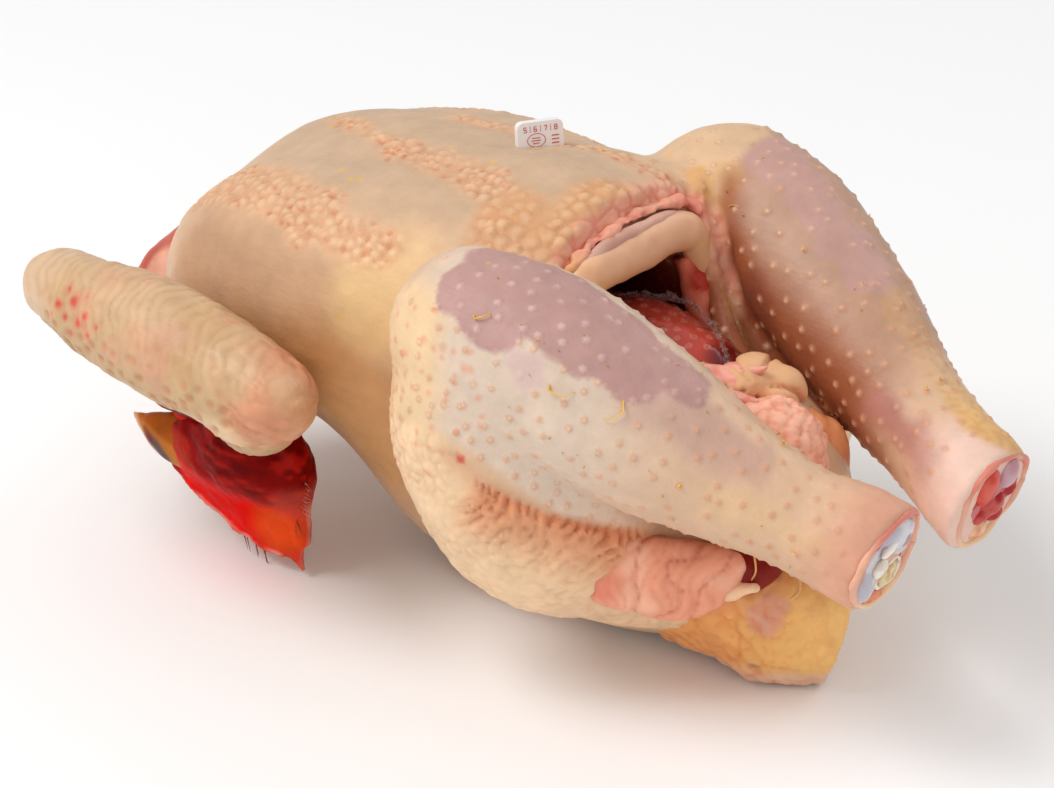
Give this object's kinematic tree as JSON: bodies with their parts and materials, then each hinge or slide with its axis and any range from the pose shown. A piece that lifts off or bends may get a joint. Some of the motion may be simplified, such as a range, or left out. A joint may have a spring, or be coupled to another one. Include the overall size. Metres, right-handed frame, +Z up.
{
  "type": "whole raw chicken",
  "caption": "Whole raw chicken, plucked and drawn, head on and feet off, lying breast up with bagged giblets in its open body cavity.",
  "frame": {"origin": "on the table, at the resting face of the back, under the middle of the body", "axes": "+X from the neck to the tail, -Y the bird's right side, +Z up through the breast"},
  "size_m": [0.2634, 0.1736, 0.1183],
  "materials": {
    "chicken_skin": "moist plucked skin, cream to yellow with lilac and pink patches",
    "bagged_giblets": "dark red offal under clear perforated film",
    "white_plastic": "white moulded tag with plain red marks"
  },
  "bodies": {
    "root": {"chicken": "chicken_skin", "giblets": "bagged_giblets", "clip_tag": "white_plastic"}
  },
  "joints": []
}
